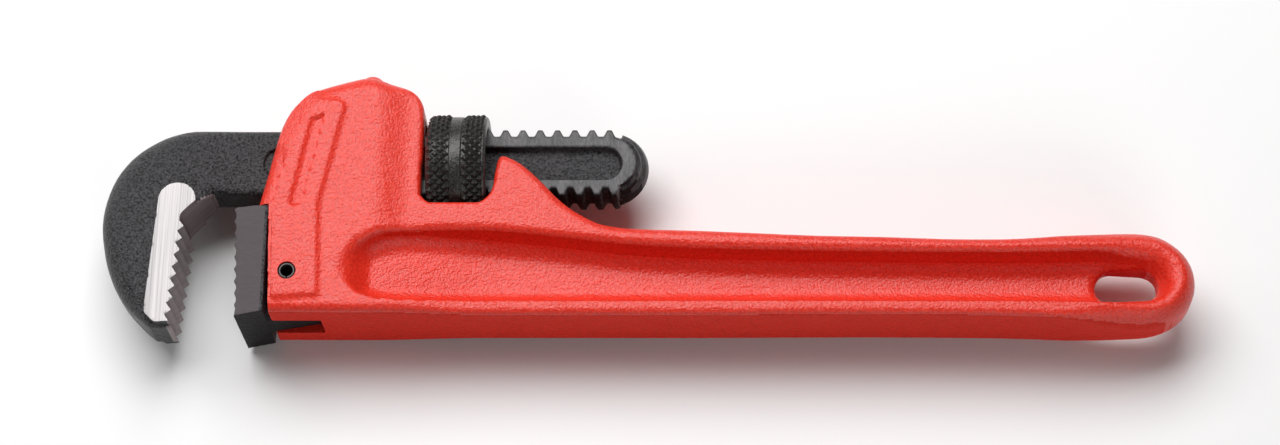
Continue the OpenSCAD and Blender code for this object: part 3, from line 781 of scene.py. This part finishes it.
def heelField(x, y, z):
    sizes, aside = heelSizes, np.abs(z)
    block = roundBoth(outlineDistance(x, y, heelOutline), aside - sizes["half"], sizes["edge"])
    tang = roundBoth(outlineDistance(x, y, tangOutline), aside - sizes["tangHalf"], sizes["tangEdge"])
    pinHole = np.hypot(x - pinPlace[0], y - pinPlace[1]) - sizes["pinHole"]
    return np.maximum(roundEither(block, tang, sizes["tangFillet"]), -pinHole)


def heelParts(middles, normals):
    # ground sides and teeth, a darker, less shiny black on the faces turned down as painted shade, and a
    # forged finish on the rest
    x, y, z = middles.T
    # the sides are ground only up to groundUntil, so a thin strip at their back stays dark
    side = (np.abs(z) > heelSizes["half"] - 0.12) & (x < heelSizes["groundUntil"])
    front = (normals[:, 0] < -0.3) & (x < heelSizes["toothedUntil"])
    return np.where(side | front, 1, np.where(normals[:, 1] < -0.5, 2, 0))


heelFinishes = ("forgedBlack", "groundSteel", "paintedShadeBlack")
points, faces = meshField(heelField, (-1.0, -40.9, -12), (20.4, -12.2, 12), heelSizes["cell"])
heel = newPiece("heelJaw", toFrame(points), faces, [material[name] for name in heelFinishes],
                heelParts, sharp=32)
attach(heel, "handle")
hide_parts("heel_jaw")


def sweepRound(profile, angles, place):
    # carries a closed profile of (radius, height) round an axis; a part turn gets end faces
    count, rings = len(profile), len(angles) - 1
    made = [place(radius, height, angle) for angle in angles for radius, height in profile]
    full = abs(angles[-1] - angles[0]) > 6.2831
    made = made[:rings * count] if full else made
    sides = []
    for ring in range(rings):
        here, after = count * ring, count * (ring + 1) % len(made)
        for i in range(count):
            beside = (i + 1) % count
            sides.append((here + i, here + beside, after + beside, after + i))
    if not full:
        sides += [tuple(range(count)), tuple(range(len(made) - 1, len(made) - count - 1, -1))]
    return made, sides


mergeDistance = 2e-6  # metres


def outward(piece):
    # closes doubles and turns every face outwards
    work = bmesh.new()
    work.from_mesh(piece.data)
    bmesh.ops.remove_doubles(work, verts=work.verts, dist=mergeDistance)
    bmesh.ops.recalc_face_normals(work, faces=work.faces)
    work.to_mesh(piece.data)
    work.free()
    return piece


# the heel jaw's pin, a rolled tube with a slit
pinSizes = {"outer": 2.0, "inner": 1.38, "half": 11.5, "chamfer": 0.28, "innerChamfer": (0.08, 0.15),
            "slit": 5.5, "steps": 44}


def pinProfile(sizes):
    # section of the hollow pin's wall
    outer, inner, half, chamfer = (sizes[name] for name in ("outer", "inner", "half", "chamfer"))
    widening, depth = sizes["innerChamfer"]
    return [(inner + widening, -half), (outer - chamfer, -half), (outer, -half + 2 * chamfer),
            (outer, half - 2 * chamfer), (outer - chamfer, half), (inner + widening, half),
            (inner, half - depth), (inner, -half + depth)]


def roundPin(radius, height, angle):
    return pinPlace[0] + radius * math.cos(angle), pinPlace[1] + radius * math.sin(angle), height


pinTurns = np.radians(np.linspace(-90 + pinSizes["slit"], 270 - pinSizes["slit"], pinSizes["steps"]))
points, faces = sweepRound(pinProfile(pinSizes), pinTurns, roundPin)
pin = outward(newPiece("heelJawPin", toFrame(points), faces, [material["nutBlack"]], sharp=25))
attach(pin, "handle")
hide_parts("heel_jaw_pin")


def newTree(name, sizes):
    # a Geometry Nodes tree with named number inputs and one Material input
    tree = bpy.data.node_groups.new(name, "GeometryNodeTree")
    tree.is_modifier = True
    tree.interface.new_socket("Geometry", in_out="OUTPUT", socket_type="NodeSocketGeometry")
    for label, value in sizes.items():
        kind = "NodeSocketInt" if isinstance(value, int) else "NodeSocketFloat"
        tree.interface.new_socket(label, in_out="INPUT", socket_type=kind).default_value = value
    tree.interface.new_socket("Material", in_out="INPUT", socket_type="NodeSocketMaterial")
    return tree, tree.nodes.new("NodeGroupInput"), tree.nodes.new("NodeGroupOutput")


def feed(tree, node, terms):
    # a term is another node's socket or a plain value
    for socket, term in zip(node.inputs, terms):
        if isinstance(term, bpy.types.NodeSocket):
            tree.links.new(term, socket)
        else:
            socket.default_value = term


def mathNode(tree, operation, first, second=0.0):
    node = tree.nodes.new("ShaderNodeMath")
    node.operation = operation
    feed(tree, node, (first, second))
    return node.outputs["Value"]


def vectorOf(tree, x, y, z):
    node = tree.nodes.new("ShaderNodeCombineXYZ")
    feed(tree, node, (x, y, z))
    return node.outputs["Vector"]


def finishTree(tree, given, put, geometry):
    # every tree ends in real geometry with its material set
    real, paint = tree.nodes.new("GeometryNodeRealizeInstances"), tree.nodes.new("GeometryNodeSetMaterial")
    tree.links.new(geometry, real.inputs["Geometry"])
    tree.links.new(real.outputs["Geometry"], paint.inputs["Geometry"])
    tree.links.new(given.outputs["Material"], paint.inputs["Material"])
    tree.links.new(paint.outputs["Geometry"], put.inputs["Geometry"])


def pointsOf(mesh):
    places = np.zeros(len(mesh.vertices) * 3)
    mesh.vertices.foreach_get("co", places)
    return places.reshape(-1, 3)


def movePoints(mesh, places):
    mesh.vertices.foreach_set("co", places.ravel())
    mesh.update()


def grow(name, tree, values, finish):
    # runs a tree and keeps its result as a plain mesh, moved from millimetres to the frame
    holder = bpy.data.objects.new(name + "Holder", bpy.data.meshes.new(name + "Holder"))
    scene.collection.objects.link(holder)
    modifier = holder.modifiers.new("tree", "NODES")
    modifier.node_group = tree
    for item in tree.interface.items_tree:
        if item.in_out == "INPUT" and item.name in values:
            modifier[item.identifier] = values[item.name]
        elif item.in_out == "INPUT" and item.name == "Material":
            modifier[item.identifier] = finish
    bpy.context.view_layer.update()
    mesh = bpy.data.meshes.new_from_object(holder.evaluated_get(bpy.context.evaluated_depsgraph_get()))
    bpy.data.objects.remove(holder)
    mesh.name = name
    movePoints(mesh, toFrame(pointsOf(mesh)))
    made = bpy.data.objects.new(name, mesh)
    scene.collection.objects.link(made)
    print("grown", name, len(mesh.polygons), "faces")
    return made


def knurlTree():
    # diamonds standing in staggered rows round the X axis
    tree, given, put = newTree("diamondKnurl", {
        "Start": 43.0, "Row Step": 0.85, "Rows": 6, "Around": 52, "Radius": 12.0, "Height": 0.8,
        "Flat": 0.3, "Unevenness": 0.12, "Shoulder Place": 42.5, "Shoulder": 1.8})
    nodes, links, value = tree.nodes, tree.links, given.outputs

    def work(operation, *terms):
        return mathNode(tree, operation, *terms)

    line = nodes.new("GeometryNodeMeshLine")
    links.new(work("MULTIPLY", value["Rows"], value["Around"]), line.inputs["Count"])
    index = nodes.new("GeometryNodeInputIndex").outputs["Index"]
    row = work("FLOOR", work("DIVIDE", work("ADD", index, 0.5), value["Around"]))
    along = work("ADD", value["Start"], work("MULTIPLY", row, value["Row Step"]))
    shift = work("MULTIPLY", work("MODULO", row, 2.0), 0.5)
    share = work("DIVIDE", work("ADD", index, shift), value["Around"])
    angle = work("MULTIPLY", share, 2 * math.pi)
    # rows near the shoulder sink with its rounding
    away = work("ABSOLUTE", work("SUBTRACT", along, value["Shoulder Place"]))
    short = work("MAXIMUM", work("SUBTRACT", value["Shoulder"], away), 0.0)
    sunk = work("DIVIDE", work("MULTIPLY", short, short), value["Shoulder"])
    reach = work("SUBTRACT", value["Radius"], work("MULTIPLY", sunk, 0.8))
    across = work("MULTIPLY", reach, work("SINE", work("MULTIPLY", angle, -1.0)))
    outwards = work("MULTIPLY", reach, work("COSINE", angle))
    place = nodes.new("GeometryNodeSetPosition")
    links.new(line.outputs["Mesh"], place.inputs["Geometry"])
    links.new(vectorOf(tree, along, across, outwards), place.inputs["Position"])
    # one four-sided diamond, 4% wider and longer than its place so that neighbours meet
    diamond = nodes.new("GeometryNodeMeshCone")
    diamond.inputs["Vertices"].default_value = 4
    diamond.inputs["Radius Bottom"].default_value = 1.0
    diamond.inputs["Depth"].default_value = 1.0
    links.new(value["Flat"], diamond.inputs["Radius Top"])
    wide = work("DIVIDE", work("MULTIPLY", value["Radius"], math.pi * 1.04), value["Around"])
    long = work("MULTIPLY", value["Row Step"], 1.04)
    uneven = nodes.new("FunctionNodeRandomValue")
    uneven.data_type = "FLOAT"
    uneven.inputs["Seed"].default_value = 7
    links.new(work("SUBTRACT", 1.0, value["Unevenness"]), uneven.inputs[2])
    uneven.inputs[3].default_value = 1.0
    tall = work("MULTIPLY", value["Height"], uneven.outputs[1])
    stand = nodes.new("GeometryNodeInstanceOnPoints")
    links.new(place.outputs["Geometry"], stand.inputs["Points"])
    links.new(diamond.outputs["Mesh"], stand.inputs["Instance"])
    links.new(vectorOf(tree, angle, 0.0, 0.0), stand.inputs["Rotation"])
    links.new(vectorOf(tree, long, wide, tall), stand.inputs["Scale"])
    finishTree(tree, given, put, stand.outputs["Instances"])
    return tree


def helixTree():
    # round wire on a helix about the X axis
    tree, given, put = newTree("helixWire", {
        "Start": 0.0, "Length": 10.0, "Turns": 3.0, "Coil Radius": 2.0, "Wire Radius": 0.4,
        "First Angle": 0.0, "Around": 12, "Steps": 32})
    nodes, links, value = tree.nodes, tree.links, given.outputs
    spiral = nodes.new("GeometryNodeCurveSpiral")
    links.new(value["Steps"], spiral.inputs["Resolution"])
    links.new(value["Turns"], spiral.inputs["Rotations"])
    links.new(value["Length"], spiral.inputs["Height"])
    spiral.inputs["Reverse"].default_value = True  # the hand of the shank's thread
    for name in ("Start Radius", "End Radius"):
        links.new(value["Coil Radius"], spiral.inputs[name])
    ring = nodes.new("GeometryNodeCurvePrimitiveCircle")
    links.new(value["Around"], ring.inputs["Resolution"])
    links.new(value["Wire Radius"], ring.inputs["Radius"])
    wire = nodes.new("GeometryNodeCurveToMesh")
    wire.inputs["Fill Caps"].default_value = True
    links.new(spiral.outputs["Curve"], wire.inputs["Curve"])
    links.new(ring.outputs["Curve"], wire.inputs["Profile Curve"])
    upright = nodes.new("GeometryNodeTransform")
    links.new(wire.outputs["Mesh"], upright.inputs["Geometry"])
    upright.inputs["Rotation"].default_value = (0, math.pi / 2, 0)
    turned = nodes.new("GeometryNodeTransform")
    links.new(upright.outputs["Geometry"], turned.inputs["Geometry"])
    links.new(vectorOf(tree, value["First Angle"], 0.0, 0.0), turned.inputs["Rotation"])
    links.new(vectorOf(tree, value["Start"], 0.0, 0.0), turned.inputs["Translation"])
    finishTree(tree, given, put, turned.outputs["Geometry"])
    return tree


# knurled nut: a turned body, two bands of diamonds and its inner thread
knurl, helix = knurlTree(), helixTree()
nutSizes = {
    "outer": (nutHigh.y - nutLow.y) * 500, "length": (nutHigh.x - nutLow.x) * 1000, "turnPoints": 121,
    "bore": 9.75, "boreCorner": 0.5, "band": 0.85, "bandCorner": 0.2, "bandSlope": 0.1, "shoulder": 1.8,
    "collar": (47.95, 50.7), "collarDrop": 0.55, "rim": (0.85, 0.45, 0.15), "rimEnd": (0.6, 0.7),
    "diamonds": {"Row Step": 1.1, "Around": 40, "Flat": 0.22, "Unevenness": 0.3},
    "diamondSunk": 0.05, "diamondExtra": 0.04,
    "bands": ({"Start": 43.8, "Rows": 4, "Shoulder Place": 42.5, "Shoulder": 1.8},
              {"Start": 51.75, "Rows": 4, "Shoulder Place": 56.3, "Shoulder": 1.3}),
    "thread": {"Start": 43.95, "Length": 11.0, "Turns": 2.75, "Coil Radius": 8.95, "Wire Radius": 0.82,
               "First Angle": 1.5 * math.pi, "Around": 8, "Steps": 40}}
bandFloor = nutSizes["outer"] - nutSizes["band"]


def nutProfile(sizes):
    # section of the nut's wall: two sunk bands for the knurl, a plain collar between them and a rim
    left, right = nutMiddle - sizes["length"] / 2, nutMiddle + sizes["length"] / 2
    outer, bore, boreCorner = sizes["outer"], sizes["bore"], sizes["boreCorner"]
    slope, corner = sizes["bandSlope"], sizes["bandCorner"]
    collarLeft, collarRight = sizes["collar"]
    collarTop = outer - sizes["collarDrop"]
    rimWidth, rimDrop, rimCorner = sizes["rim"]
    endDrop, endCorner = sizes["rimEnd"]
    line = roundedOutline([
        (left, bore, boreCorner), (left, bandFloor + slope, sizes["shoulder"]),
        (collarLeft, bandFloor, corner), (collarLeft + slope, collarTop, corner),
        (collarRight - slope, collarTop, corner),
        (collarRight, bandFloor, corner), (right - rimWidth - slope, bandFloor, corner),
        (right - rimWidth, outer - rimDrop, rimCorner), (right, outer - endDrop, endCorner),
        (right, bore, boreCorner)], 15)
    return [(radius, along) for along, radius in line]


def roundNut(radius, along, angle):
    return along, radius * math.cos(angle), radius * math.sin(angle)


def joinTo(piece, others):
    with bpy.context.temp_override(active_object=piece, object=piece, selected_objects=[piece, *others],
                                   selected_editable_objects=[piece, *others]):
        bpy.ops.object.join()


nutTurns = np.radians(np.linspace(0, 360, nutSizes["turnPoints"]))
points, faces = sweepRound(nutProfile(nutSizes), nutTurns, roundNut)
nut = outward(newPiece("adjustingNut", toFrame(points), faces, [material["nutBlack"]], sharp=30))
diamonds = {**nutSizes["diamonds"], "Radius": bandFloor - nutSizes["diamondSunk"],
            "Height": nutSizes["band"] + nutSizes["diamondExtra"]}
grown = [grow("knurlBand", knurl, {**diamonds, **band}, material["nutBlack"]) for band in nutSizes["bands"]]
grown.append(grow("nutThread", helix, nutSizes["thread"], material["nutBlack"]))
joinTo(nut, grown)
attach(nut, "adjusting_nut")
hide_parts("adjusting_nut")

# coil spring under the hump
coilSizes = {"wire": 0.4, "turns": 6.0, "ease": 0.35, "around": 10, "steps": 28}
coilLow, coilHigh = (toWrench(corner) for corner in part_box("coil_spring"))
coilMiddle = (coilLow + coilHigh) / 2
coilValues = {
    "Start": 0.0, "Length": coilHigh[1] - coilLow[1] - 2 * coilSizes["wire"] - coilSizes["ease"],
    "Coil Radius": (coilHigh[0] - coilLow[0]) / 2 - coilSizes["wire"] - coilSizes["ease"],
    "Turns": coilSizes["turns"], "Wire Radius": coilSizes["wire"],
    "Around": coilSizes["around"], "Steps": coilSizes["steps"]}
coil = grow("coilSpring", helix, coilValues, material["springSteel"])
# stand the coil up along Y, in its pocket
lying = toWrench(pointsOf(coil.data))
upright = [coilMiddle[0] - lying[:, 1], lying[:, 0] + coilLow[1] + coilSizes["wire"], lying[:, 2]]
movePoints(coil.data, toFrame(np.stack(upright, 1)))
coil.data.polygons.foreach_set("use_smooth", [True] * len(coil.data.polygons))
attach(coil, "rocker")
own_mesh(coil)
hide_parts("coil_spring")


def softenedCopy(node, name, finish, bevel):
    # a CAD node's shape with its edges broken
    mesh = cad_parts[node].data.copy()
    mesh.name = name
    mesh.materials.clear()
    mesh.materials.append(finish)
    made = bpy.data.objects.new(name, mesh)
    scene.collection.objects.link(made)
    work = bmesh.new()
    work.from_mesh(mesh)
    bmesh.ops.remove_doubles(work, verts=work.verts, dist=mergeDistance)
    bmesh.ops.dissolve_limit(work, angle_limit=math.radians(1), verts=work.verts, edges=work.edges)
    sharp = [edge for edge in work.edges if edge.is_manifold and edge.calc_face_angle(0) > math.radians(40)]
    bmesh.ops.bevel(work, geom=sharp, offset=bevel * 0.001, segments=2, affect="EDGES", clamp_overlap=True)
    bmesh.ops.recalc_face_normals(work, faces=work.faces)
    work.to_mesh(mesh)
    work.free()
    return made


# flat spring and its pin, from the CAD shapes
leafSizes = {"bevel": 0.12, "bendInset": 0.004, "bendHeight": 0.0128}
leaf = softenedCopy("flat_spring", "flatSpring", material["springSteel"], leafSizes["bevel"])
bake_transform(leaf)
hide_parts("flat_spring")
screw = softenedCopy("spring_pin", "springPin", material["nutBlack"], 0.15)
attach(screw, "handle")
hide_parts("spring_pin")
